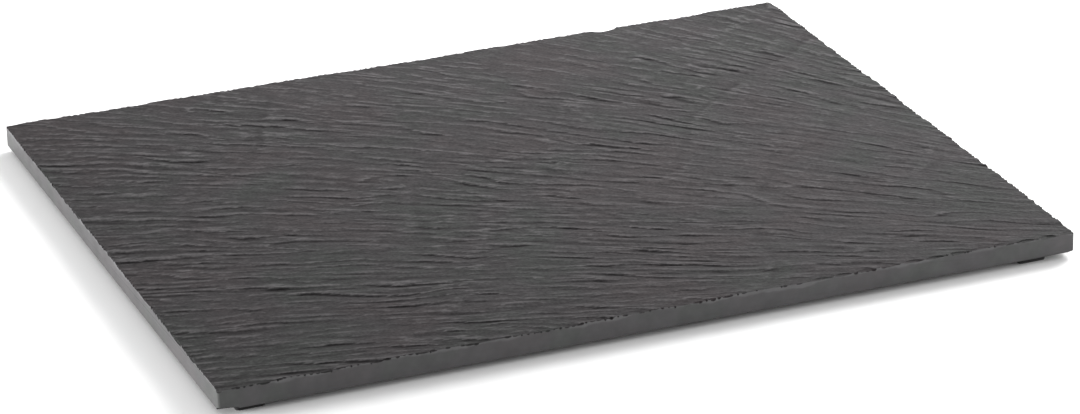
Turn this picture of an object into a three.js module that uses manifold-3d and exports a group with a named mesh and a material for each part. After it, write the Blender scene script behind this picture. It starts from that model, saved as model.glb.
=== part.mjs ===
// A riven slate serving slab with sawn edges, standing on four rubber feet.
// Millimetres, +Z up. The origin is on the table under the middle of the slab, X runs along its length.
import * as THREE from "three";
import { ImprovedNoise } from "three/addons/math/ImprovedNoise.js";
import { mergeVertices } from "three/addons/utils/BufferGeometryUtils.js";
import Module from "manifold-3d";

// Driving dimensions
const LENGTH = 325;
const WIDTH = 265;
const THICKNESS = 8; // mean thickness of the stone
const BOTTOM_BEVEL = 0.6; // the sawn lower edge is eased
const CORNER_RADIUS = { frontLeft: 1.1, frontRight: 0.9, backRight: 3.6, backLeft: 1.5 };
const FOOT = { height: 2, side: 11, corner: 1.5, edgeRound: 0.4, facets: 2 };
// From the slab's sides to the middle of each foot, along X and Y; they are stuck on by hand
const FOOT_INSET = { frontLeft: [12.4, 8.2], frontRight: [15.6, 7.7], backRight: [14, 8], backLeft: [14, 8] };

// The split face: hackle ridges fan out from a point beyond the front right corner, where the split began,
// and bend a little as they go. Heights are above the mean, sizes count ridge lines across and steps along.
const FAN = { x: 322, y: -285, reference: 430, swirl: 0.00028 };
const RIDGE = { spacing: 2.5, step: 15 }; // between ridge lines at the reference distance, and along them
const SWELL = { height: 0.2, reach: 95, seed: 3.3 }; // slow rise and fall, over so many millimetres
const LEDGE = { height: 0.17, layers: 3.4, rows: 19, steps: 5.2, seed: 7.6 }; // leaves broken off in steps
const STRANDS = [
  { height: 0.26, rows: 8.3, steps: 3.4, seed: 8.3 },
  { height: 0.28, rows: 3.7, steps: 2.3, seed: 3.7 },
  { height: 0.26, rows: 1.7, steps: 1.6, seed: 1.7 },
];
// A rough band across the ridges, where the split paused
const RIB = { distance: 430, width: 9, height: 0.3, rows: 2.3, steps: 0.9, seed: 31.4 };

// Flakes missing from the upper edge
const CHIP = { spacing: 11, jitter: 0.4, longest: 8, shortest: 2, deepest: 0.65, shallowest: 0.3, seed: 20 };
const CORNER_FLAKE = { reach: 4.5, depth: 1.1 };
const FLAKE_RISE = 0.1; // a flake's middle lies a little above the face it broke from

const SLAB_BOTTOM = FOOT.height;
const SLAB_TOP = SLAB_BOTTOM + THICKNESS;
const [HALF_LENGTH, HALF_WIDTH] = [LENGTH / 2, WIDTH / 2];
const CORNERS = [-1, 1].flatMap((sx) => [-1, 1].map((sy) => [sx * HALF_LENGTH, sy * HALF_WIDTH]));
const SPARE = 3; // how far a cutting shape runs past what it cuts
const SPARE_ROWS = 4; // ridge lines beyond the slab's corners
const CORNER_FACETS = 5;
const WELD = 1e-4; // points nearer than this are one

const wasm = await Module();
wasm.setup();
const perlin = new ImprovedNoise();
const lerp = THREE.MathUtils.lerp;
const random = () => THREE.MathUtils.seededRandom();
THREE.MathUtils.seededRandom(CHIP.seed);

const slate = new THREE.MeshStandardMaterial({ color: 0x4d4c4e, roughness: 0.75, metalness: 0 });
const rubber = new THREE.MeshStandardMaterial({ color: 0x151516, roughness: 0.85, metalness: 0 });

// A closed geometry as a solid that can be joined and cut
function solidOf(geometry) {
  const bare = geometry.clone();
  bare.deleteAttribute("normal");
  bare.deleteAttribute("uv");
  const merged = mergeVertices(bare, WELD);
  const vertProperties = new Float32Array(merged.attributes.position.array);
  const triVerts = new Uint32Array(merged.index.array);
  return new wasm.Manifold(new wasm.Mesh({ numProp: 3, vertProperties, triVerts }));
}

function geometryOf(solid) {
  const { numProp, vertProperties, triVerts } = solid.getMesh();
  const geometry = new THREE.BufferGeometry();
  const interleaved = new THREE.InterleavedBuffer(vertProperties, numProp);
  geometry.setAttribute("position", new THREE.InterleavedBufferAttribute(interleaved, 3, 0));
  geometry.setIndex(new THREE.BufferAttribute(triVerts, 1));
  const flat = geometry.toNonIndexed();
  flat.computeVertexNormals();
  return flat;
}

// The place on the slab of a point that lies so far from the fan's middle, on the ridge line that crosses
// the reference distance at that angle
function fanPoint(distance, angle) {
  const turned = angle + FAN.swirl * (distance - FAN.reference);
  return { x: FAN.x + distance * Math.cos(turned), y: FAN.y + distance * Math.sin(turned) };
}

function fanAngle(x, y) {
  const distance = Math.hypot(x - FAN.x, y - FAN.y);
  return Math.atan2(y - FAN.y, x - FAN.x) - FAN.swirl * (distance - FAN.reference);
}

// Height of the split face over the table
function splitHeight(x, y) {
  const distance = Math.hypot(x - FAN.x, y - FAN.y);
  const row = (fanAngle(x, y) * FAN.reference) / RIDGE.spacing;
  const step = distance / RIDGE.step;
  const swell = SWELL.height * perlin.noise(x / SWELL.reach, y / SWELL.reach, SWELL.seed);
  const leaf = LEDGE.layers * perlin.noise(row / LEDGE.rows, step / LEDGE.steps, LEDGE.seed);
  const ledge = LEDGE.height * Math.round(leaf);
  const strand = ({ height, rows, steps, seed }) => height * perlin.noise(row / rows, step / steps, seed);
  const strands = STRANDS.map(strand).reduce((sum, rise) => sum + rise);
  const nearRib = Math.exp(-(((distance - RIB.distance) / RIB.width) ** 2));
  const rib = RIB.height * nearRib * perlin.noise(row / RIB.rows, step / RIB.steps, RIB.seed);
  return SLAB_TOP + swell + ledge + strands + rib;
}

// A block of stone whose upper face is the split, wider than the slab on all sides
function splitBlock() {
  const distances = CORNERS.map(([x, y]) => Math.hypot(x - FAN.x, y - FAN.y));
  const angles = CORNERS.map(([x, y]) => fanAngle(x, y));
  const nearest = Math.min(...distances) - RIDGE.step;
  const steps = Math.ceil((Math.max(...distances) + RIDGE.step - nearest) / RIDGE.step);
  const rowAngle = RIDGE.spacing / FAN.reference;
  const firstAngle = Math.min(...angles) - SPARE_ROWS * rowAngle;
  const rows = Math.ceil((Math.max(...angles) - firstAngle) / rowAngle) + SPARE_ROWS;

  const points = [];
  for (let row = 0; row <= rows; row++) {
    for (let step = 0; step <= steps; step++) {
      const distance = nearest + step * RIDGE.step;
      const { x, y } = fanPoint(distance, firstAngle + row * rowAngle);
      points.push(x, y, splitHeight(x, y));
    }
  }
  const upper = points.length / 3;
  for (let i = 0; i < upper; i++) points.push(points[3 * i], points[3 * i + 1], SLAB_BOTTOM - SPARE);

  const at = (row, step) => row * (steps + 1) + step;
  const faces = [];
  const quad = (a, b, c, d) => faces.push(a, b, c, a, c, d);
  for (let row = 0; row < rows; row++) {
    for (let step = 0; step < steps; step++) {
      const [a, b, c, d] = [at(row, step), at(row, step + 1), at(row + 1, step + 1), at(row + 1, step)];
      quad(a, b, c, d);
      quad(upper + a, upper + d, upper + c, upper + b);
    }
  }
  const wall = (a, b) => quad(a, upper + a, upper + b, b);
  for (let step = 0; step < steps; step++) {
    wall(at(0, step), at(0, step + 1));
    wall(at(rows, step + 1), at(rows, step));
  }
  for (let row = 0; row < rows; row++) {
    wall(at(row + 1, 0), at(row, 0));
    wall(at(row, steps), at(row + 1, steps));
  }
  const block = new THREE.BufferGeometry();
  block.setAttribute("position", new THREE.Float32BufferAttribute(points, 3));
  block.setIndex(faces);
  return solidOf(block);
}

// A rectangle about the origin with its own rounding at each corner
function roundedOutline(x, y, { frontLeft, frontRight, backRight, backLeft }) {
  const quarter = Math.PI / 2;
  const outline = new THREE.Shape();
  outline.absarc(-x + frontLeft, -y + frontLeft, frontLeft, 2 * quarter, 3 * quarter);
  outline.absarc(x - frontRight, -y + frontRight, frontRight, -quarter, 0);
  outline.absarc(x - backRight, y - backRight, backRight, 0, quarter);
  outline.absarc(-x + backLeft, y - backLeft, backLeft, quarter, 2 * quarter);
  outline.closePath();
  return outline;
}

// An upright prism that starts at the given height with an eased lower edge
function prism(outline, bottom, tall, ease, curveSegments, bevelSegments) {
  const shape = new THREE.ExtrudeGeometry(outline, {
    depth: tall - 2 * ease,
    curveSegments,
    bevelThickness: ease,
    bevelSize: ease,
    bevelOffset: -ease,
    bevelSegments,
  });
  shape.translate(0, 0, bottom + ease);
  return solidOf(shape);
}

function sawnPrism() {
  const outline = roundedOutline(HALF_LENGTH, HALF_WIDTH, CORNER_RADIUS);
  return prism(outline, SLAB_BOTTOM, THICKNESS + SPARE + 2 * BOTTOM_BEVEL, BOTTOM_BEVEL, CORNER_FACETS, 1);
}

// A shallow shell-shaped flake, long along an edge that runs at the given angle
function flake(x, y, angle, long, deep) {
  const shape = new THREE.IcosahedronGeometry(1, 0);
  shape.rotateX(random() * Math.PI);
  shape.scale(long / 2, deep, deep);
  shape.rotateZ(angle);
  shape.translate(x, y, splitHeight(x, y) + FLAKE_RISE);
  return solidOf(shape);
}

// Flakes along the four upper edges, and a larger one at each corner
function chips() {
  const made = [];
  const along = (length, place, angle) => {
    const gap = () => CHIP.spacing * lerp(1 - CHIP.jitter, 1 + CHIP.jitter, random());
    for (let at = CHIP.spacing; at < length - CHIP.spacing; at += gap()) {
      const deep = lerp(CHIP.shallowest, CHIP.deepest, random() ** 2);
      const long = lerp(CHIP.shortest, CHIP.longest, random() ** 2);
      const { x, y } = place(at - length / 2);
      made.push(flake(x, y, angle, long, deep));
    }
  };
  along(LENGTH, (t) => ({ x: t, y: -HALF_WIDTH }), 0);
  along(LENGTH, (t) => ({ x: t, y: HALF_WIDTH }), 0);
  along(WIDTH, (t) => ({ x: -HALF_LENGTH, y: t }), Math.PI / 2);
  along(WIDTH, (t) => ({ x: HALF_LENGTH, y: t }), Math.PI / 2);
  for (const [x, y] of CORNERS) {
    const across = (-Math.sign(x * y) * Math.PI) / 4;
    made.push(flake(x, y, across, 2 * CORNER_FLAKE.reach, CORNER_FLAKE.depth));
  }
  return made;
}

function slab() {
  const sawn = splitBlock().intersect(sawnPrism());
  const worn = chips().reduce((stone, chip) => stone.subtract(chip), sawn);
  const mesh = new THREE.Mesh(geometryOf(worn), slate);
  mesh.name = "slab";
  return mesh;
}

// A square rubber pad with a rounded lower edge, glued on by its flat upper face
function foot(name, x, y) {
  const { height, side, corner, edgeRound, facets } = FOOT;
  const corners = { frontLeft: corner, frontRight: corner, backRight: corner, backLeft: corner };
  const outline = roundedOutline(side / 2, side / 2, corners);
  const pad = prism(outline, 0, height + SPARE, edgeRound, facets, 2).trimByPlane([0, 0, -1], -height);
  const mesh = new THREE.Mesh(geometryOf(pad), rubber);
  mesh.name = name;
  mesh.position.set(x, y, 0);
  return mesh;
}

function feet() {
  const [left, right, front, back] = [-1, 1, -1, 1];
  const group = new THREE.Group();
  const add = (name, sx, sy, [insetX, insetY]) =>
    group.add(foot(name, sx * (HALF_LENGTH - insetX), sy * (HALF_WIDTH - insetY)));
  add("foot_front_left", left, front, FOOT_INSET.frontLeft);
  add("foot_front_right", right, front, FOOT_INSET.frontRight);
  add("foot_back_right", right, back, FOOT_INSET.backRight);
  add("foot_back_left", left, back, FOOT_INSET.backLeft);
  return group;
}

const board = new THREE.Group();
board.add(slab(), feet());
export default board;
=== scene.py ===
import math
from functools import partial
import bmesh
import bpy
from mathutils import Matrix, Vector


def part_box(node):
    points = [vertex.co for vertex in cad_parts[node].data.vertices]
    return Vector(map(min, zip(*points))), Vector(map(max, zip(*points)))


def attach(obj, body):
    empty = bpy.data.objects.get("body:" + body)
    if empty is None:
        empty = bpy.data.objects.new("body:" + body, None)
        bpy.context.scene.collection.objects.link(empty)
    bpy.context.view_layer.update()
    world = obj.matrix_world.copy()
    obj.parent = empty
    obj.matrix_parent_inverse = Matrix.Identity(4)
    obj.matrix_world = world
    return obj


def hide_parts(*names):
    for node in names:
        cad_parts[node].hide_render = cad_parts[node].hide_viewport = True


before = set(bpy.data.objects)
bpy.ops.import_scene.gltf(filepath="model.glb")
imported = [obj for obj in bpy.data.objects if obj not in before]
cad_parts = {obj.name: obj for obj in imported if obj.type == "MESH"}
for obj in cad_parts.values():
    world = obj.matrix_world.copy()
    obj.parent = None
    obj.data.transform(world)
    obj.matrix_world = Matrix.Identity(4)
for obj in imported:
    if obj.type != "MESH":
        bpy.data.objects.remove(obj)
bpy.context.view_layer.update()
stoneLow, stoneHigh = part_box("slab")
feetNodes = sorted(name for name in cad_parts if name.startswith("foot"))
mm = 0.001
print("frame loaded:", sorted(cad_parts))


# what a node gives: the first of its outputs that is in use
def outOf(node):
    return next(socket for socket in node.outputs if socket.enabled)


# adds a node, sets what it is told and links whatever comes from another node; a list is several links
def addNode(tree, kind, inputs=(), **settings):
    node = tree.nodes.new(kind)
    for name, value in settings.items():
        setattr(node, name, value)
    for key, value in inputs.items() if isinstance(inputs, dict) else enumerate(inputs):
        for one in value if isinstance(value, list) else [value]:
            if isinstance(one, bpy.types.Node):
                one = outOf(one)
            if isinstance(one, bpy.types.NodeSocket):
                tree.links.new(one, node.inputs[key])
            else:
                node.inputs[key].default_value = one
    return node


# sRGB hex to the linear colour that a shader takes
def hexColour(text):
    channels = [int(text[i:i + 2], 16) / 255 for i in (1, 3, 5)]
    linear = [c / 12.92 if c <= 0.04045 else ((c + 0.055) / 1.055) ** 2.4 for c in channels]
    return (*linear, 1)


# a new material and its tree
def newMaterial(name):
    material = bpy.data.materials.new(name)
    material.use_nodes = True
    return material, material.node_tree


# ends a material: its colour, one pattern that says how matt it is, and one that says how it stands up
def finishMaterial(tree, look, colour, mattBy, reliefBy):
    strength, height = look["bump"]
    matt = addNode(tree, "ShaderNodeMapRange", [mattBy, 0, 1, *look["roughness"]])
    relief = {"Height": reliefBy, "Strength": strength, "Distance": height * mm}
    bump = addNode(tree, "ShaderNodeBump", relief)
    shader = tree.nodes["Principled BSDF"]
    for name, source in (("Base Color", colour), ("Roughness", matt), ("Normal", bump)):
        tree.links.new(outOf(source), shader.inputs[name])
    shader.inputs["Specular IOR Level"].default_value = look["gloss"]


# an empty tree with named inputs, and what its input node gives
def newTree(name, sockets):
    tree = bpy.data.node_groups.new(name, "GeometryNodeTree")
    tree.interface.new_socket("Geometry", in_out="OUTPUT", socket_type="NodeSocketGeometry")
    for socketName, (kind, _) in sockets.items():
        tree.interface.new_socket(socketName, in_out="INPUT", socket_type="NodeSocket" + kind)
    return tree, addNode(tree, "NodeGroupInput").outputs


# runs a tree on an empty mesh and keeps the result as a plain mesh
def runTree(name, tree, sockets):
    maker = bpy.data.objects.new(name + "Maker", bpy.data.meshes.new(name + "Maker"))
    bpy.context.scene.collection.objects.link(maker)
    modifier = maker.modifiers.new("nodes", "NODES")
    modifier.node_group = tree
    for item in tree.interface.items_tree:
        if item.in_out == "INPUT":
            modifier[item.identifier] = sockets[item.name][1]
    graph = bpy.context.evaluated_depsgraph_get()
    mesh = bpy.data.meshes.new_from_object(maker.evaluated_get(graph), depsgraph=graph)
    maker.modifiers.remove(modifier)
    bpy.data.objects.remove(maker)
    mesh.name = name
    for slot in reversed([i for i, material in enumerate(mesh.materials) if not material]):
        mesh.materials.pop(index=slot)  # an empty slot from before any material was set
    piece = bpy.data.objects.new(name, mesh)
    bpy.context.scene.collection.objects.link(piece)
    triangles = sum(len(face.vertices) - 2 for face in mesh.polygons)
    print(name, "faces:", len(mesh.polygons), "triangles:", triangles)
    return piece


# camera, worked out from the slab's four corners as they are seen
photoView = {
    "azimuth": -21.212,
    "elevation": 22.845,
    "roll": -1.44,
    "distance": 1.69494,  # metres
    "lens": 151.5,  # mm, as is the sensor's width
    "sensor": 36,
    "aim": (2.9 * mm, -11.2 * mm, 1.7 * mm),
}


# the way from the middle of the table, azimuth 0 being the front
def wayTo(azimuth, elevation):
    around, above = math.radians(azimuth), math.radians(elevation)
    level = math.cos(above)
    return Vector((math.sin(around) * level, -math.cos(around) * level, math.sin(above)))


def addCamera(view):
    back = wayTo(view["azimuth"], view["elevation"])
    level = Vector((-back.y, back.x, 0)).normalized()
    upright = back.cross(level)
    tilt = math.radians(view["roll"])
    right = level * math.cos(tilt) + upright * math.sin(tilt)
    up = upright * math.cos(tilt) - level * math.sin(tilt)
    camera = bpy.data.objects.new("camera", bpy.data.cameras.new("camera"))
    camera.data.sensor_width = view["sensor"]
    camera.data.lens = view["lens"]
    turn = Matrix((right, up, back)).transposed().to_4x4()
    camera.matrix_world = Matrix.Translation(Vector(view["aim"]) + back * view["distance"]) @ turn
    bpy.context.scene.collection.objects.link(camera)
    bpy.context.scene.camera = camera


addCamera(photoView)
print("camera set")


# faint green and purple patches in the grey of the stone
def slateTint(node, place, look):
    patch = node("ShaderNodeTexNoise", {"Vector": place, "Scale": 1 / (look["patch"] * mm), "Detail": 3})
    ramp = node("ShaderNodeValToRGB", [patch])
    stops = ramp.color_ramp.elements
    stops.new(0.5)  # between the two that are there
    for stop, (position, colour) in zip(stops, look["tint"]):
        stop.position = position
        stop.color = hexColour(colour)
    return ramp


# riven slate: a split face, dark and matt with a faint mica sheen, its grain running with the ridges
# its grooves get painted shade and its crests a painted highlight, both read from the hollow attribute
rivenLook = {
    "tint": [(0.36, "#313231"), (0.5, "#333132"), (0.64, "#353132")],  # greenish, plain and purplish stone
    # colour of the painted highlight on the crests
    "paintedCrestHighlight": "#585657",
    # colour of the painted shade in the grooves
    "paintedGrooveShade": "#292728",
    "depth": (0.01, 0.14),  # mm off its surroundings, where the painted shade in a groove and the painted highlight on a crest start and are full
    "crestHighlightShare": 0.6,  # how much of the painted highlight's colour shows at most on a crest
    "patch": 34,  # mm across a patch of tint
    "grain": (2.2, 5),  # mm across and along a strand
    "grit": 1.2,  # mm across a speck; strands and specks are coarser than real ones so that they show
    "mottle": ((0.7, 1.3), (0.62, 1.38)),  # strands and specks together, and how dark or pale that makes it
    "roughness": (0.64, 0.82),
    "bump": (0.6, 0.3),  # strength, and height in mm
    "gloss": 0.1,
}


def rivenSlate(look):
    material, tree = newMaterial("rivenSlate")
    node = partial(addNode, tree)
    place = node("ShaderNodeTexCoord").outputs["Object"]
    cleave = node("ShaderNodeAttribute", attribute_name="cleave").outputs["Vector"]
    hollow = node("ShaderNodeAttribute", attribute_name="hollow").outputs["Fac"]

    across, along = look["grain"]
    strand = node("ShaderNodeVectorMath", [cleave, (1 / across, 1 / along, 0)], operation="MULTIPLY")
    grain = node("ShaderNodeTexNoise", {"Vector": strand, "Scale": 1, "Detail": 3, "Roughness": 0.6})
    grit = node("ShaderNodeTexNoise", {"Vector": place, "Scale": 1 / (look["grit"] * mm), "Detail": 2})
    rough = node("ShaderNodeMath", [grit, grain], operation="ADD")

    start, full = look["depth"]
    # painted shade: darker where a point lies below its surroundings, in the grooves
    grooveShadeMask = node("ShaderNodeMapRange", [hollow, start, full])
    # painted highlight: paler where a point stands above its surroundings, on the crests
    high = node("ShaderNodeMapRange", [hollow, -start, -full, 0, look["crestHighlightShare"]])
    paintedGrooveShade, paintedCrestHighlight = hexColour(look["paintedGrooveShade"]), hexColour(look["paintedCrestHighlight"])
    tint = slateTint(node, place, look)
    dark = node("ShaderNodeMix", {"Factor": grooveShadeMask, "A": tint, "B": paintedGrooveShade}, data_type="RGBA")
    withCrestHighlight = node("ShaderNodeMix", {"Factor": high, "A": dark, "B": paintedCrestHighlight}, data_type="RGBA")
    pattern, shades = look["mottle"]
    shade = node("ShaderNodeMapRange", [rough, *pattern, *shades])
    colour = node("ShaderNodeVectorMath", {0: withCrestHighlight, "Scale": shade}, operation="SCALE")
    finishMaterial(tree, look, colour, grain, rough)
    return material


# sawn slate: the blade leaves it smooth, with marks along the cut, and paler in a band under the edge
sawnLook = {
    "tint": [(0.36, "#494a49"), (0.5, "#4a494a"), (0.64, "#4b494a")],
    "paleBelowTop": "#5a595a",
    "paleBelowTopReach": (1.7, 0.7),  # mm, how far the paler band goes below the stone's top, and how softly it ends
    "paleBelowTopWander": (7, 24),  # mm, how unevenly it ends, over what length
    "patch": 16,
    "spot": 7,  # mm across a paler or darker spot
    "mottle": ((0.3, 0.7), (0.86, 1.14)),
    "mark": (0.35, 30),  # mm between marks of the blade, and how many times that their length is
    "roughness": (0.48, 0.62),
    "bump": (0.25, 0.1),
    "gloss": 0.3,
}


def sawnSlate(look):
    material, tree = newMaterial("sawnSlate")
    node = partial(addNode, tree)
    place = node("ShaderNodeTexCoord").outputs["Object"]
    gap, stretch = look["mark"]
    pitch = 1 / (gap * mm)
    pitches = (pitch / stretch, pitch / stretch, pitch)
    drawn = node("ShaderNodeVectorMath", [place, pitches], operation="MULTIPLY")
    marks = node("ShaderNodeTexNoise", {"Vector": drawn, "Scale": 1, "Detail": 2})

    # paler in an uneven band just under the stone's top
    reach, soft = look["paleBelowTopReach"]
    uneven, long = look["paleBelowTopWander"]
    height = node("ShaderNodeSeparateXYZ", [place]).outputs["Z"]
    knocks = {"Vector": place, "Scale": 1 / (long * mm), "Detail": 4, "Roughness": 0.6}
    spread = node("ShaderNodeMath", [node("ShaderNodeTexNoise", knocks), 0.5], operation="SUBTRACT")
    shifted = node("ShaderNodeMath", [spread, uneven * mm, height], operation="MULTIPLY_ADD")
    lowest, fullFrom = stoneHigh.z - reach * mm, stoneHigh.z - (reach - soft) * mm
    paleBelowTop = node("ShaderNodeMapRange", [shifted, lowest, fullFrom])
    ends = {"A": slateTint(node, place, look), "B": hexColour(look["paleBelowTop"])}
    pale = node("ShaderNodeMix", {"Factor": paleBelowTop, **ends}, data_type="RGBA")

    spots = {"Vector": place, "Scale": 1 / (look["spot"] * mm), "Detail": 5, "Roughness": 0.6}
    pattern, shades = look["mottle"]
    shade = node("ShaderNodeMapRange", [node("ShaderNodeTexNoise", spots), *pattern, *shades])
    colour = node("ShaderNodeVectorMath", {0: pale, "Scale": shade}, operation="SCALE")
    finishMaterial(tree, look, colour, marks, marks)
    return material


# the stone: split above and below, then sawn to its outline and knocked along its edges, all in mm
slabShape = {
    "fanMiddle": (322, -285),  # where the split began
    "fanReference": 430,  # from there, where rows are at their own spacing
    "fanSwirl": 0.00028,  # radians for each mm
    "fanMargin": (4, 0.012),  # how far the fan goes past the stone, in mm and in radians
    # from the fan's middle, where ridges are fitted to rows, their strength, and that of their steps
    "zones": [(290, 1.66, 0.44), (430, 1.42, 0.66), (610, 1.08, 1)],
    "zoneBlend": (0.3, 0.7),  # on the way to the next zone, where the change starts and ends
    "zoneWander": (70, 60, 45),  # how far the change wanders, over so much across and along
    "strandFade": (-0.35, 0.35, 0.35),  # noise where a ridge is least and most, and its least share
    "stepFade": (-0.35, 0.4, 0.1),
    "stepBend": (1.2, 0.35),  # how many steps wide a bend is, and how many bends there are to a step
    "ribBow": (24, 25, 30),  # how far a rib bows, over so much across and along
    "ribPatch": (13, 16, -0.2, 0.3),  # across and along a patch of rib, noise where it starts and is full
    "calmPatch": (35, 60, -0.4, 0.4, 0.75, 1.2),  # across and along it, noise, and least and most strength
    "leftAtReach": 0.37,  # how much of a rib, or of the front edge's pull, is left at its reach
    "seedStep": 11.3,  # from one noise to the next
    "fadeSeed": 3,  # from a ridge's noise to that of its coming and going
    "breakSeed": 5,  # from the last noise to that of breaks and calm patches
    "smoothing": {"hollow": 4, "swell": 24, "broad": 5},  # rounds of it
    "backCalm": (70, 0.15),  # how near the back edge ridges get lower, and to what share
    "edgeClear": 2.5,  # inside the outline, where the solid's height is read
    "lean": 0.8,  # how far a ridge leans towards the front for its height
    "bevel": 0.6,
    "cornerRadius": {"back right": 3.6, "back left": 1.5, "front left": 1.1, "front right": 0.9},
    "cornerSteps": 7,
    "blockDepth": 20,  # down to well below the stone
    "prismHeight": 30,  # up to well above it
    "overhead": 40,  # from where heights are read
    "weld": 0.001,
    "crumb": 1000,  # points, under which a loose bit is dropped
    "crease": 50,  # degrees, from which an edge is sharp
    "upper": {
        "rowSpacing": 0.7,
        "stepLength": 1.7,
        "wander": [(1.2, 14, 40), (0.3, 3.4, 7)],  # to the side, over so much across and along
        # height, width, length, and the length over which a ridge comes and goes
        "strands": [(1.05, 12, 64, 36), (0.95, 6.6, 56, 22), (0.36, 4, 34, 12)],
        "steps": [(0.55, 6.4, 56, 22), (0.26, 4, 36, 11)],
        "frontPull": (14, 26, 45),  # how far the front edge draws ends back, from where, over what depth
        "valley": 0.09,  # how blunt a valley is, for a ridge of height 1
        "ribs": [(430, 15, 1), (560, 18, 0.5)],  # where, half width, strength
        "ribBreak": (1.9, 0.15, 3, 7),  # to the side and up, over so much across and along
        "ribGain": 0.45,  # how much taller ridges are there
        "seed": 4.7,
    },
    "lower": {
        "rowSpacing": 2.4,
        "stepLength": 6,
        "wander": [(2, 20, 45)],
        "strands": [(0.3, 9, 60, 60)],
        "steps": [(0.16, 12, 70, 70)],
        "frontPull": (0, 0, 45),
        "valley": 0.05,
        "ribs": [(520, 10, 1)],
        "ribBreak": (1.5, 0.1, 7, 9),
        "ribGain": 0,
        "seed": 61.9,
    },
    "lowerDepth": (0.02, 0.4),  # how far the lower face is hollowed
    # how far apart chips are, 0 being one at each corner, what share of them is there, how far a patch
    # of them reaches, and the least and most of their half length, depth and height
    "chips": [
        {"spacing": 0, "share": 1, "seed": 3, "least": (3, 0.9, 0.7), "most": (5, 1.7, 1.2)},
        {"spacing": 17, "share": 0.6, "seed": 5, "least": (1.5, 0.4, 0.3), "most": (5, 1.1, 0.6)},
        # a leaf broken off the front edge, from there to the right
        {"spacing": 9, "share": 1, "seed": 21, "least": (3.4, 1.5, 0.3), "most": (4.4, 2.6, 0.5),
         "frontFrom": 55},
        {"spacing": 5.5, "share": 0.6, "seed": 11, "least": (0.8, 0.4, 0.3), "most": (2.4, 0.9, 0.8),
         "patch": 22},
        {"spacing": 2.4, "share": 0.86, "seed": 8, "least": (0.4, 0.35, 0.25), "most": (1.15, 0.9, 0.75),
         "patch": 14},
    ],
    "facets": {"chip": 2, "knock": 3},  # how finely the ball that takes it off is divided
    "chipPatch": ((0.35, 0.65), (0.2, 1.8)),  # noise, and how many times the share is there
    "frontBand": 1,  # how far in from the front edge a point still counts as on it
    # where the stone is knocked, as shares of half length, half width and height, and half a knock's size
    "knocks": [
        ((-1, -1, 0), (8, 2.4, 1.6)),
        ((1, -1, 0), (2.4, 1.5, 0.8)),
        ((1, 1, 0), (2, 5, 1.1)),
        ((0.543, 1, 0.895), (5.4, 3, 1)),
    ],
}


# how far a point is from the fan's middle, and the angle of its row
def fanAngle(x, y, shape):
    dx = x - shape["fanMiddle"][0]
    dy = y - shape["fanMiddle"][1]
    distance = math.hypot(dx, dy)
    return distance, math.atan2(dy, dx) - shape["fanSwirl"] * (distance - shape["fanReference"])


# the slab tree's inputs, the fan being just large enough for the stone's corners
def slabSockets(shape, rivenFinish, sawnFinish):
    halfLength, halfWidth = stoneHigh.x / mm, stoneHigh.y / mm
    corners = [fanAngle(sx * halfLength, sy * halfWidth, shape) for sx in (-1, 1) for sy in (-1, 1)]
    farther, wider = shape["fanMargin"]
    nearest = min(distance for distance, _ in corners) - farther
    reach = max(distance for distance, _ in corners) + farther - nearest
    firstAngle = min(angle for _, angle in corners) - wider
    span = (max(angle for _, angle in corners) + wider - firstAngle) * shape["fanReference"]
    sockets = {
        "CAD slab": ("Object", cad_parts["slab"]),
        "Half length": ("Float", halfLength),
        "Half width": ("Float", halfWidth),
        "Underside": ("Float", stoneLow.z / mm),
        "Highest": ("Float", stoneHigh.z / mm),
        "Bevel": ("Float", shape["bevel"]),
        "Fan X": ("Float", shape["fanMiddle"][0]),
        "Fan Y": ("Float", shape["fanMiddle"][1]),
        "Fan reference": ("Float", shape["fanReference"]),
        "Fan swirl": ("Float", shape["fanSwirl"]),
        "First angle": ("Float", firstAngle),
        "Span": ("Float", span),
        "Nearest": ("Float", nearest),
        "Reach": ("Float", reach),
        "Lean": ("Float", shape["lean"]),
        "Riven": ("Material", rivenFinish),
        "Sawn": ("Material", sawnFinish),
    }
    for face in ("upper", "lower"):
        sockets[face + " rows"] = ("Int", round(span / shape[face]["rowSpacing"]))
        sockets[face + " steps"] = ("Int", round(reach / shape[face]["stepLength"]))
    for corner, radius in shape["cornerRadius"].items():
        sockets[corner + " radius"] = ("Float", radius * mm)
    return sockets


# smooth noise about 0, drawn out along the rows
def drawnNoise(node, where, wide, long, seed, detail=0):
    drawn = [where, (1 / wide, 1 / long, 0), (0, 0, seed)]
    spot = node("ShaderNodeVectorMath", drawn, operation="MULTIPLY_ADD")
    return node("ShaderNodeTexNoise", {"Vector": spot, "Scale": 1, "Detail": detail}, normalize=False)


# where a row is on the slab, so far from the fan's middle
def fanPlace(node, g, distance, row):
    beyond = node("ShaderNodeMath", [distance, g["Fan reference"]], operation="SUBTRACT")
    bend = node("ShaderNodeMath", [beyond, g["Fan swirl"], g["First angle"]], operation="MULTIPLY_ADD")
    rowAngle = node("ShaderNodeMath", [row, g["Fan reference"]], operation="DIVIDE")
    angle = node("ShaderNodeMath", [rowAngle, bend], operation="ADD")
    cosine = node("ShaderNodeMath", [angle], operation="COSINE")
    sine = node("ShaderNodeMath", [angle], operation="SINE")
    x = node("ShaderNodeMath", [cosine, distance, g["Fan X"]], operation="MULTIPLY_ADD")
    y = node("ShaderNodeMath", [sine, distance, g["Fan Y"]], operation="MULTIPLY_ADD")
    return x, y


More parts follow.
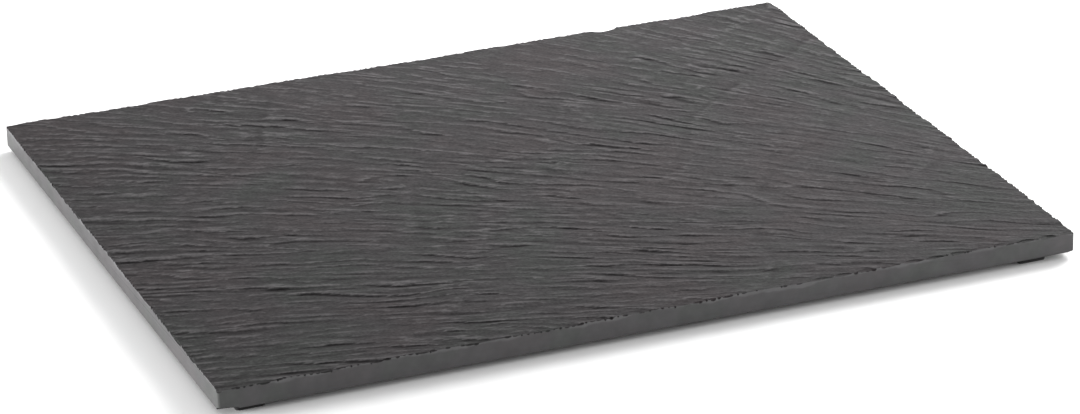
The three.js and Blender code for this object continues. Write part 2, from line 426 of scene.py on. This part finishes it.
# the rows that ridges follow, which straighten along the front edge
def straightRows(node, g, shape, face, distance, row):
    pull, middle, reach = shape[face]["frontPull"]
    flatX, flatY = fanPlace(node, g, distance, row)
    fromMiddle = node("ShaderNodeMath", [flatX, middle], operation="SUBTRACT")
    part = node("ShaderNodeMath", [fromMiddle, g["Half length"]], operation="DIVIDE")
    parted = node("ShaderNodeMath", [part, part], operation="MULTIPLY")
    fromFront = node("ShaderNodeMath", [flatY, g["Half width"]], operation="ADD")
    inReach = node("ShaderNodeMath", [fromFront, reach], operation="DIVIDE")
    nearFront = node("ShaderNodeMath", [shape["leftAtReach"], inReach], operation="POWER")
    pulled = node("ShaderNodeMath", [parted, nearFront], operation="MULTIPLY")
    closed = node("ShaderNodeMath", [pull * shape["fanReference"], distance], operation="DIVIDE")
    return node("ShaderNodeMath", [pulled, closed, row], operation="MULTIPLY_ADD")


# ribs across the rows, where the split paused: how broken the ridges are, and the last seed
def ribsAcross(node, shape, face, flatPlace, distance):
    bowed, bowWide, bowLong = shape["ribBow"]
    patchWide, patchLong, startAt, fullAt = shape["ribPatch"]
    seed = shape[face]["seed"]
    broken = 0.0
    for ribAt, halfWidth, strength in shape[face]["ribs"]:
        seed += shape["seedStep"]
        bow = drawnNoise(node, flatPlace, bowWide, bowLong, seed, 1)
        along = node("ShaderNodeMath", [bow, bowed, distance], operation="MULTIPLY_ADD")
        off = node("ShaderNodeMath", [along, ribAt], operation="SUBTRACT")
        away = node("ShaderNodeMath", [off, halfWidth], operation="DIVIDE")
        square = node("ShaderNodeMath", [away, away], operation="MULTIPLY")
        near = node("ShaderNodeMath", [shape["leftAtReach"], square], operation="POWER")
        patch = drawnNoise(node, flatPlace, patchWide, patchLong, seed + shape["fadeSeed"])
        patchy = node("ShaderNodeMapRange", [patch, startAt, fullAt, 0, strength])
        broken = node("ShaderNodeMath", [near, patchy, broken], operation="MULTIPLY_ADD")
    return broken, seed


# one zone's ridges, their widths scaled to its rows, and the last seed
def zoneRidges(node, shape, face, wandered, place, scale, stepStrength, seed):
    ridges = 0.0
    leastAt, mostAt, least = shape["strandFade"]
    for height, wide, long, fade in shape[face]["strands"]:  # rounded ridges with sharp valleys
        seed += shape["seedStep"]
        side = drawnNoise(node, place, wide * scale, long, seed)
        blunt = node("ShaderNodeCombineXYZ", [side, shape[face]["valley"]])
        fold = node("ShaderNodeVectorMath", [blunt], operation="LENGTH").outputs["Value"]
        there = drawnNoise(node, place, wide * scale, fade, seed + shape["fadeSeed"])
        amount = node("ShaderNodeMapRange", [there, leastAt, mostAt, least * height, height])
        ridges = node("ShaderNodeMath", [fold, amount, ridges], operation="MULTIPLY_ADD")
    leastAt, mostAt, least = shape["stepFade"]
    bendWidth, bendShare = shape["stepBend"]
    for drop, wide, long, fade in shape[face]["steps"]:  # leaves broken off in steps that face the front
        seed += shape["seedStep"]
        turns = node("ShaderNodeMath", [wandered, wide * scale], operation="DIVIDE")
        bent = drawnNoise(node, place, wide * scale / bendShare, long, seed, 1)
        turn = node("ShaderNodeMath", [bent, bendWidth, turns], operation="MULTIPLY_ADD")
        saw = node("ShaderNodeMath", [turn], operation="FRACT")
        there = drawnNoise(node, place, wide * scale, fade, seed + shape["fadeSeed"])
        most = drop * stepStrength
        amount = node("ShaderNodeMapRange", [there, leastAt, mostAt, least * most, most])
        ridges = node("ShaderNodeMath", [saw, amount, ridges], operation="MULTIPLY_ADD")
    return ridges, seed


# a sheet of split stone laid out as a fan, its height still to be set: a grid of distance and row, the
# place of each point and its relief less the broad swell of it
def splitSheet(node, g, shape, face):
    values = shape[face]
    grid = node("GeometryNodeMeshGrid", [g["Reach"], g["Span"], g[face + " steps"], g[face + " rows"]])
    at = node("ShaderNodeSeparateXYZ", [node("GeometryNodeInputPosition")])
    halfReach = node("ShaderNodeMath", [g["Reach"], 0.5, g["Nearest"]], operation="MULTIPLY_ADD")
    distance = node("ShaderNodeMath", [at.outputs["X"], halfReach], operation="ADD")
    row = node("ShaderNodeMath", [g["Span"], 0.5, at.outputs["Y"]], operation="MULTIPLY_ADD")
    flatPlace = node("ShaderNodeCombineXYZ", [row, distance])
    broken, seed = ribsAcross(node, shape, face, flatPlace, distance)

    # ridges wander to the side, and are jolted where they are broken
    wandered = straightRows(node, g, shape, face, distance, row)
    for side, wide, long in values["wander"]:
        seed += shape["seedStep"]
        sway = drawnNoise(node, flatPlace, wide, long, seed, 1)
        wandered = node("ShaderNodeMath", [sway, side, wandered], operation="MULTIPLY_ADD")
    jolt, lump, wide, long = values["ribBreak"]
    bits = drawnNoise(node, flatPlace, wide, long, seed + shape["breakSeed"], 1)
    rubble = node("ShaderNodeMath", [bits, broken], operation="MULTIPLY")
    wandered = node("ShaderNodeMath", [rubble, jolt, wandered], operation="MULTIPLY_ADD")
    place = node("ShaderNodeCombineXYZ", [wandered, distance])

    # rows close up towards the fan's middle, so each zone has ridges of its own number of rows
    stray, wide, long = shape["zoneWander"]
    straying = drawnNoise(node, place, wide, long, seed)
    ragged = node("ShaderNodeMath", [straying, stray, distance], operation="MULTIPLY_ADD")
    blendFrom, blendTo = shape["zoneBlend"]
    relief = 0.0
    earlier = 1.0
    zones = shape["zones"]
    for (zone, strength, stepStrength), (following, _, _) in zip(zones, zones[1:] + [(0, 0, 0)]):
        gap = following - zone
        change = [ragged, zone + blendFrom * gap, zone + blendTo * gap]
        later = node("ShaderNodeMapRange", change) if following else 0.0
        scale = shape["fanReference"] / zone
        ridges, seed = zoneRidges(node, shape, face, wandered, place, scale, stepStrength, seed)
        share = node("ShaderNodeMath", [earlier, later], operation="SUBTRACT")
        root = node("ShaderNodeMath", [share], operation="SQRT")  # so that ridges are as tall between zones
        weight = node("ShaderNodeMath", [root, strength], operation="MULTIPLY")
        relief = node("ShaderNodeMath", [ridges, weight, relief], operation="MULTIPLY_ADD")
        earlier = later

    # some stretches are calmer than others
    wide, long, *amounts = shape["calmPatch"]
    patch = drawnNoise(node, place, wide, long, seed + shape["breakSeed"], 1)
    calm = node("ShaderNodeMapRange", [patch, *amounts])
    lively = node("ShaderNodeMath", [broken, values["ribGain"], calm], operation="MULTIPLY_ADD")
    relief = node("ShaderNodeMath", [relief, lively], operation="MULTIPLY")
    relief = node("ShaderNodeMath", [rubble, lump, relief], operation="MULTIPLY_ADD")

    # kept for the finish: where on the fan, and how far below its surroundings
    smoothing = shape["smoothing"]
    shown = {"Geometry": grid, "Name": "relief", "Value": relief}
    kept = node("GeometryNodeStoreNamedAttribute", shown, domain="POINT", data_type="FLOAT")
    relief = node("GeometryNodeInputNamedAttribute", ["relief"], data_type="FLOAT")
    nearby = node("GeometryNodeBlurAttribute", {"Value": relief, "Iterations": smoothing["hollow"]})
    # how far below: the riven finish paints shade into the grooves and a highlight onto the crests from it
    hollow = node("ShaderNodeMath", [nearby, relief], operation="SUBTRACT")
    for name, value, kind in (("cleave", place, "FLOAT_VECTOR"), ("hollow", hollow, "FLOAT")):
        shown = {"Geometry": kept, "Name": name, "Value": value}
        kept = node("GeometryNodeStoreNamedAttribute", shown, domain="POINT", data_type=kind)
    swell = node("GeometryNodeBlurAttribute", {"Value": relief, "Iterations": smoothing["swell"]})
    detail = node("ShaderNodeMath", [relief, swell], operation="SUBTRACT")

    # where a point lies on the slab, its row pushed towards the front by its height
    leant = node("ShaderNodeMath", [relief, g["Lean"], row], operation="MULTIPLY_ADD")
    x, y = fanPlace(node, g, distance, leant)
    return kept, x, y, detail


# sets a sheet's points, and sinks it to make a closed block
def blockUnder(node, shape, sheet, x, y, z):
    spot = node("ShaderNodeCombineXYZ", [x, y, z])
    point = node("ShaderNodeVectorMath", {0: spot, "Scale": mm}, operation="SCALE")
    laid = node("GeometryNodeSetPosition", {"Geometry": sheet, "Position": point})
    flatBase = [node("GeometryNodeInputPosition"), (0, 0, -1), (0, 0, -shape["blockDepth"] * mm)]
    down = node("ShaderNodeVectorMath", flatBase, operation="MULTIPLY_ADD")
    sunk = node("GeometryNodeExtrudeMesh", {"Mesh": laid, "Offset": down, "Individual": False})
    joined = node("GeometryNodeJoinGeometry", [[node("GeometryNodeFlipFaces", [sunk]), laid]])
    return laid, node("GeometryNodeMergeByDistance", {"Geometry": joined, "Distance": shape["weld"] * mm})


# the sawn outline as a curve with its own rounding at each corner, and as a prism with an eased lower edge
def sawnOutline(node, g, shape):
    length = node("ShaderNodeMath", [g["Half length"], 2 * mm], operation="MULTIPLY")
    width = node("ShaderNodeMath", [g["Half width"], 2 * mm], operation="MULTIPLY")
    square = node("GeometryNodeCurvePrimitiveQuadrilateral", [length, width])
    radius = node("GeometryNodeIndexSwitch", data_type="FLOAT")
    for _ in range(len(shape["cornerRadius"]) - len(radius.index_switch_items)):
        radius.index_switch_items.new()
    tree = radius.id_data
    tree.links.new(outOf(node("GeometryNodeInputIndex")), radius.inputs[0])
    for place, corner in enumerate(shape["cornerRadius"], start=1):
        tree.links.new(g[corner + " radius"], radius.inputs[place])
    rounding = {"Curve": square, "Count": shape["cornerSteps"], "Radius": radius}
    rounded = node("GeometryNodeFilletCurve", rounding, mode="POLY")

    bevel = node("ShaderNodeMath", [g["Bevel"], mm], operation="MULTIPLY")
    start = node("ShaderNodeMath", [g["Underside"], mm, bevel], operation="MULTIPLY_ADD")
    plate = node("GeometryNodeFillCurve", {"Curve": rounded}, mode="NGONS")
    raised = node("ShaderNodeCombineXYZ", {"Z": start})
    plate = node("GeometryNodeSetPosition", {"Geometry": plate, "Offset": raised})
    rise = (0, 0, shape["prismHeight"] * mm)
    tall = node("GeometryNodeExtrudeMesh", {"Mesh": plate, "Offset": rise, "Individual": False})
    under = node("GeometryNodeFlipFaces", [plate])
    side = node("ShaderNodeVectorMath", [node("GeometryNodeInputPosition")], operation="SIGN")
    inward = node("ShaderNodeVectorMath", [side, (-1, -1, 0)], operation="MULTIPLY")
    eased = node("ShaderNodeVectorMath", {0: inward, "Scale": bevel}, operation="SCALE")
    down = node("ShaderNodeVectorMath", {0: (0, 0, -1), "Scale": bevel}, operation="SCALE")
    sole = node("GeometryNodeExtrudeMesh", {"Mesh": under, "Offset": down, "Individual": False})
    lowest = sole.outputs["Top"]
    sole = node("GeometryNodeSetPosition", {"Geometry": sole, "Selection": lowest, "Offset": eased})
    joined = node("GeometryNodeJoinGeometry", [[tall, sole]])
    prism = node("GeometryNodeMergeByDistance", {"Geometry": joined, "Distance": shape["weld"] * mm})
    return square, rounded, prism


# shell-shaped flakes, long along the edge that they came off
def flakes(node, shape, curve, face, chip):
    if chip["spacing"]:
        length = node("GeometryNodeCurveLength", [curve])
        count = node("ShaderNodeMath", [length, chip["spacing"] * mm], operation="DIVIDE")
        points = node("GeometryNodeCurveToPoints", {"Curve": curve, "Count": count}, mode="COUNT")
    else:
        points = node("GeometryNodeCurveToPoints", [curve], mode="EVALUATED")  # one at each corner
    tangent = points.outputs["Tangent"]
    toss = node("FunctionNodeRandomValue", {"Seed": chip["seed"]}, data_type="FLOAT")
    share = chip["share"]
    if "patch" in chip:
        patch = node("ShaderNodeTexNoise", {"Scale": 1 / (chip["patch"] * mm), "Detail": 1})
        pattern, shares = shape["chipPatch"]
        share = node("ShaderNodeMapRange", [patch, *pattern, *(times * share for times in shares)])
    gone = node("FunctionNodeCompare", [toss, share], operation="GREATER_THAN")
    left = node("GeometryNodeDeleteGeometry", [points, gone], domain="POINT")
    if "frontFrom" in chip:
        here = node("ShaderNodeSeparateXYZ", [node("GeometryNodeInputPosition")])
        start, band = chip["frontFrom"] * mm, stoneLow.y + shape["frontBand"] * mm
        before = node("FunctionNodeCompare", [here.outputs["X"], start], operation="LESS_THAN")
        behind = node("FunctionNodeCompare", [here.outputs["Y"], band], operation="GREATER_THAN")
        elsewhere = node("FunctionNodeBooleanMath", [before, behind], operation="OR")
        left = node("GeometryNodeDeleteGeometry", [left, elsewhere], domain="POINT")

    # dropped onto the face
    rise = (0, 0, shape["overhead"] * mm)
    over = node("ShaderNodeVectorMath", [node("GeometryNodeInputPosition"), rise], operation="ADD")
    aim = {"Target Geometry": face, "Source Position": over, "Ray Direction": (0, 0, -1)}
    hit = node("GeometryNodeRaycast", aim).outputs["Hit Position"]
    placed = node("GeometryNodeSetPosition", {"Geometry": left, "Position": hit})
    dice = node("FunctionNodeRandomValue", {"Seed": chip["seed"] + 1}, data_type="FLOAT_VECTOR")
    mostlySmall = node("ShaderNodeVectorMath", [dice, dice], operation="MULTIPLY")
    least, most = (Vector(chip[key]) * mm for key in ("least", "most"))
    size = node("ShaderNodeVectorMath", [mostlySmall, most - least, least], operation="MULTIPLY_ADD")
    along = node("FunctionNodeAlignRotationToVector", {"Vector": tangent}, axis="X")
    shell = node("GeometryNodeMeshIcoSphere", {"Radius": 1, "Subdivisions": shape["facets"]["chip"]})
    spread = {"Points": placed, "Instance": shell, "Rotation": along, "Scale": size}
    return node("GeometryNodeRealizeInstances", [node("GeometryNodeInstanceOnPoints", spread)])


# height of the upper face: the solid's broad form, read a little inside its outline, and the ridges on that
def upperHeight(node, g, shape, x, y, detail):
    sides = {}
    for axis, value, half in (("X", x, "Half length"), ("Y", y, "Half width")):
        inside = node("ShaderNodeMath", [g[half], shape["edgeClear"]], operation="SUBTRACT")
        outside = node("ShaderNodeMath", [inside, -1], operation="MULTIPLY")
        sides[axis] = node("ShaderNodeClamp", [value, outside, inside])
    over = node("ShaderNodeCombineXYZ", {**sides, "Z": shape["overhead"]})
    source = node("ShaderNodeVectorMath", {0: over, "Scale": mm}, operation="SCALE")
    solid = node("GeometryNodeObjectInfo", {"Object": g["CAD slab"]}).outputs["Geometry"]
    aim = {"Target Geometry": solid, "Source Position": source, "Ray Direction": (0, 0, -1)}
    hit = node("ShaderNodeSeparateXYZ", [node("GeometryNodeRaycast", aim).outputs["Hit Position"]])
    rounds = shape["smoothing"]["broad"]
    broad = node("GeometryNodeBlurAttribute", {"Value": hit.outputs["Z"], "Iterations": rounds})
    near, share = shape["backCalm"]
    calmer = node("ShaderNodeMath", [g["Half width"], near], operation="SUBTRACT")
    calm = node("ShaderNodeMapRange", [y, calmer, g["Half width"], 1, share])
    detail = node("ShaderNodeMath", [detail, calm], operation="MULTIPLY")
    raised = node("ShaderNodeMath", [broad, 1 / mm, detail], operation="MULTIPLY_ADD")
    return node("ShaderNodeMath", [raised, g["Highest"]], operation="MINIMUM")


# height of the lower face, which is split too, and hollowed a little into the stone
def lowerHeight(node, g, shape, detail):
    least, most = shape["lowerDepth"]
    middle = node("ShaderNodeMath", [detail, (least + most) / 2], operation="ADD")
    hollowed = node("ShaderNodeClamp", [middle, least, most])
    return node("ShaderNodeMath", [hollowed, g["Underside"]], operation="ADD")


def slabTree(shape, sockets):
    tree, g = newTree("splitSlab", sockets)
    node = partial(addNode, tree)
    sheet, x, y, detail = splitSheet(node, g, shape, "upper")
    upperFace, block = blockUnder(node, shape, sheet, x, y, upperHeight(node, g, shape, x, y, detail))
    sheet, x, y, detail = splitSheet(node, g, shape, "lower")
    _, beneath = blockUnder(node, shape, sheet, x, y, lowerHeight(node, g, shape, detail))

    # sawn, the prism's faces being marked so that they can be told apart afterwards
    square, rounded, prism = sawnOutline(node, g, shape)
    marked = {"Geometry": prism, "Name": "sawn", "Value": True}
    prism = node("GeometryNodeStoreNamedAttribute", marked, domain="FACE", data_type="BOOLEAN")
    both = {"operation": "INTERSECT", "solver": "MANIFOLD"}
    takeAway = {"operation": "DIFFERENCE", "solver": "MANIFOLD"}
    stone = node("GeometryNodeMeshBoolean", {"Mesh 2": [block, prism]}, **both)
    stone = node("GeometryNodeMeshBoolean", {"Mesh 1": stone, "Mesh 2": beneath}, **takeAway)

    # chipped and knocked
    for chip in shape["chips"]:
        chipped = flakes(node, shape, rounded if chip["spacing"] else square, upperFace, chip)
        stone = node("GeometryNodeMeshBoolean", {"Mesh 1": stone, "Mesh 2": chipped}, **takeAway)
    shell = node("GeometryNodeMeshIcoSphere", {"Radius": 1, "Subdivisions": shape["facets"]["knock"]})
    thick = node("ShaderNodeMath", [g["Highest"], g["Underside"]], operation="SUBTRACT")
    for (sideX, sideY, up), size in shape["knocks"]:
        x = node("ShaderNodeMath", [g["Half length"], sideX], operation="MULTIPLY")
        y = node("ShaderNodeMath", [g["Half width"], sideY], operation="MULTIPLY")
        z = node("ShaderNodeMath", [thick, up, g["Underside"]], operation="MULTIPLY_ADD")
        spot = node("ShaderNodeCombineXYZ", [x, y, z])
        middle = node("ShaderNodeVectorMath", {0: spot, "Scale": mm}, operation="SCALE")
        placed = {"Geometry": shell, "Translation": middle, "Scale": Vector(size) * mm}
        knocked = node("GeometryNodeTransform", placed)
        stone = node("GeometryNodeMeshBoolean", {"Mesh 1": stone, "Mesh 2": knocked}, **takeAway)
    island = node("GeometryNodeInputMeshIsland").outputs["Island Index"]
    points = node("GeometryNodeAccumulateField", [1, island]).outputs["Total"]
    crumb = node("FunctionNodeCompare", [points, shape["crumb"]], operation="LESS_THAN")
    stone = node("GeometryNodeDeleteGeometry", [stone, crumb], domain="POINT")

    # sawn where a face comes from the prism, riven elsewhere
    smooth = node("GeometryNodeSetShadeSmooth", [stone], domain="FACE")
    angle = node("GeometryNodeInputMeshEdgeAngle").outputs["Unsigned Angle"]
    soft = node("FunctionNodeCompare", [angle, math.radians(shape["crease"])], operation="LESS_THAN")
    eased = node("GeometryNodeSetShadeSmooth", {"Geometry": smooth, "Shade Smooth": soft}, domain="EDGE")
    whole = node("GeometryNodeRealizeInstances", [eased])
    onPrism = node("GeometryNodeInputNamedAttribute", ["sawn"], data_type="BOOLEAN")
    riven = node("GeometryNodeSetMaterial", {"Geometry": whole, "Material": g["Riven"]})
    sawn = node("GeometryNodeSetMaterial", {"Geometry": riven, "Selection": onPrism, "Material": g["Sawn"]})
    node("NodeGroupOutput", [sawn])
    return tree


stoneSockets = slabSockets(slabShape, rivenSlate(rivenLook), sawnSlate(sawnLook))
slab = runTree("slateSlab", slabTree(slabShape, stoneSockets), stoneSockets)
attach(slab, "root")
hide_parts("slab")
print("slab made")


# moulded rubber: matt and nearly black, with a fine grain and a little table dust round its lower edge
rubberLook = {
    "rubber": "#19191a",
    "dust": "#4b4947",
    "dustReach": 0.9,  # mm up from the table
    "dustShare": (0.1, 0.9),  # there and on the table
    "patch": 3,  # mm across a patch of dust
    "grain": 0.6,  # mm, coarser than a mould's real grain so that it shows
    "roughness": (0.7, 0.9),
    "bump": (0.4, 0.08),
    "gloss": 0.35,
}


def mouldedRubber(look):
    material, tree = newMaterial("mouldedRubber")
    node = partial(addNode, tree)
    place = node("ShaderNodeTexCoord").outputs["Object"]
    grain = node("ShaderNodeTexNoise", {"Vector": place, "Scale": 1 / (look["grain"] * mm), "Detail": 2})
    patch = node("ShaderNodeTexNoise", {"Vector": place, "Scale": 1 / (look["patch"] * mm), "Detail": 3})
    height = node("ShaderNodeSeparateXYZ", [place]).outputs["Z"]
    low = node("ShaderNodeMapRange", [height, look["dustReach"] * mm, 0, *look["dustShare"]])
    dusty = node("ShaderNodeMath", [low, patch], operation="MULTIPLY")
    ends = {"A": hexColour(look["rubber"]), "B": hexColour(look["dust"])}
    colour = node("ShaderNodeMix", {"Factor": dusty, **ends}, data_type="RGBA")
    finishMaterial(tree, look, colour, patch, grain)
    return material


# four square pads stuck on by hand, in mm
footShape = {
    "corner": 1.5,
    "leastCorner": 0.3,  # of the innermost rings
    "round": 0.4,  # of the lower edge
    "topEase": 0.1,  # of the upper edge
    "draft": 0.1,  # how much narrower the pad is at the bottom
    "dimple": (3.4, 0.25),  # half width and depth of the hollow under it
    "buried": 0.3,  # up into the hollows of the slab's lower face
    "cornerSteps": 6,
    "edgeSteps": 6,
}


# rings of points from the middle of the underside outwards, up the sides and in over the top
def footPad(shape):
    low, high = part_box(feetNodes[0])
    half = (high.x - low.x) / 2
    height = high.z - low.z + shape["buried"] * mm
    edge, draft, corner = (shape[key] * mm for key in ("round", "draft", "corner"))
    ease, leastCorner = (shape[key] * mm for key in ("topEase", "leastCorner"))
    hollowHalf, hollowDepth = (value * mm for value in shape["dimple"])
    edgeSteps, cornerSteps = shape["edgeSteps"], shape["cornerSteps"]
    turns = [math.radians(90 * i / edgeSteps) for i in range(edgeSteps + 1)]
    rings = [(half - hollowHalf * math.sin(t), hollowDepth * math.cos(t) ** 2) for t in turns[1:]]
    rings += [(draft + edge - edge * math.sin(t), edge - edge * math.cos(t)) for t in turns]
    rings += [(0, height - ease), (ease, height)]
    pad = bmesh.new()
    rows = []
    for inset, up in rings:
        rounding = max(corner - inset, leastCorner)
        straight = half - inset - rounding
        row = []
        for quarter, (sideX, sideY) in enumerate(((1, 1), (-1, 1), (-1, -1), (1, -1))):
            for step in range(cornerSteps + 1):
                angle = math.radians(90) * (quarter + step / cornerSteps)
                x = straight * sideX + rounding * math.cos(angle)
                y = straight * sideY + rounding * math.sin(angle)
                row.append(pad.verts.new((x, y, up)))
        rows.append(row)
    for inner, outer in zip(rows, rows[1:]):
        for i in range(len(inner)):
            pad.faces.new((inner[i - 1], outer[i - 1], outer[i], inner[i]))
    for row, up in ((rows[0], hollowDepth), (rows[-1], height)):
        middle = pad.verts.new((0, 0, up))
        for i in range(len(row)):
            pad.faces.new((row[i - 1], row[i], middle))
    bmesh.ops.recalc_face_normals(pad, faces=pad.faces)
    for face in pad.faces:
        face.smooth = True
    mesh = bpy.data.meshes.new("footPad")
    pad.to_mesh(mesh)
    pad.free()
    return bpy.data.objects.new("footPad", mesh)


# one point under the middle of each foot of the frame
def footPlaces():
    middles = [sum(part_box(name), Vector()) / 2 for name in feetNodes]
    mesh = bpy.data.meshes.new("footPlaces")
    mesh.from_pydata([(middle.x, middle.y, 0) for middle in middles], [], [])
    return bpy.data.objects.new("footPlaces", mesh)


def feetTree(sockets):
    tree, g = newTree("fourFeet", sockets)
    node = partial(addNode, tree)
    pad = node("GeometryNodeObjectInfo", {"Object": g["Pad"]}).outputs["Geometry"]
    places = node("GeometryNodeObjectInfo", {"Object": g["Places"]}).outputs["Geometry"]
    pads = node("GeometryNodeInstanceOnPoints", {"Points": places, "Instance": pad})
    whole = node("GeometryNodeRealizeInstances", [pads])
    ended = node("GeometryNodeSetMaterial", {"Geometry": whole, "Material": g["Rubber"]})
    node("NodeGroupOutput", [ended])
    return tree


feetSockets = {
    "Pad": ("Object", footPad(footShape)),
    "Places": ("Object", footPlaces()),
    "Rubber": ("Material", mouldedRubber(rubberLook)),
}
feet = runTree("rubberFeet", feetTree(feetSockets), feetSockets)
for maker in ("Pad", "Places"):
    bpy.data.objects.remove(feetSockets[maker][1])
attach(feet, "root")
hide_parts(*feetNodes)
print("feet made")


# the pale table and the lights round it
stageLook = {
    "floor": "#fafafa",
    "floorRoughness": 0.9,
    "floorSize": 8,
    "world": 0.67,
    "softboxes": [
        # name, azimuth, elevation, distance, size, power, where it is aimed in mm, spread
        ("leftBox", -104, 6, 2.0, (1.8, 0.4), 70, (0, 0), 180),
        ("frontBox", 66, 8, 0.65, (0.5, 0.16), 1.3, (0, 0), 180),
        ("backBox", 128, 30, 0.6, (0.7, 0.4), 1.63, (93, 120), 60),
    ],
}


def addStage(look):
    bpy.ops.mesh.primitive_plane_add(size=look["floorSize"])
    floor = bpy.context.object
    floor.name = "floor"
    material, tree = newMaterial("paleTable")
    shader = tree.nodes["Principled BSDF"]
    shader.inputs["Base Color"].default_value = hexColour(look["floor"])
    shader.inputs["Roughness"].default_value = look["floorRoughness"]
    floor.data.materials.append(material)
    for name, azimuth, elevation, distance, (wide, tall), power, aim, spread in look["softboxes"]:
        light = bpy.data.lights.new(name, "AREA")
        light.shape = "RECTANGLE"
        light.size, light.size_y = wide, tall
        light.energy = power
        light.spread = math.radians(spread)
        lamp = bpy.data.objects.new(name, light)
        lamp.location = wayTo(azimuth, elevation) * distance
        back = lamp.location - Vector((*aim, 0)) * mm
        lamp.rotation_euler = back.to_track_quat("Z", "Y").to_euler()
        bpy.context.scene.collection.objects.link(lamp)
    world = bpy.data.worlds.new("studio")
    world.use_nodes = True
    background = world.node_tree.nodes["Background"]
    background.inputs["Color"].default_value = (1, 1, 1, 1)
    background.inputs["Strength"].default_value = look["world"]
    bpy.context.scene.world = world
    bpy.context.scene.view_settings.view_transform = "Standard"


addStage(stageLook)
print("stage set")
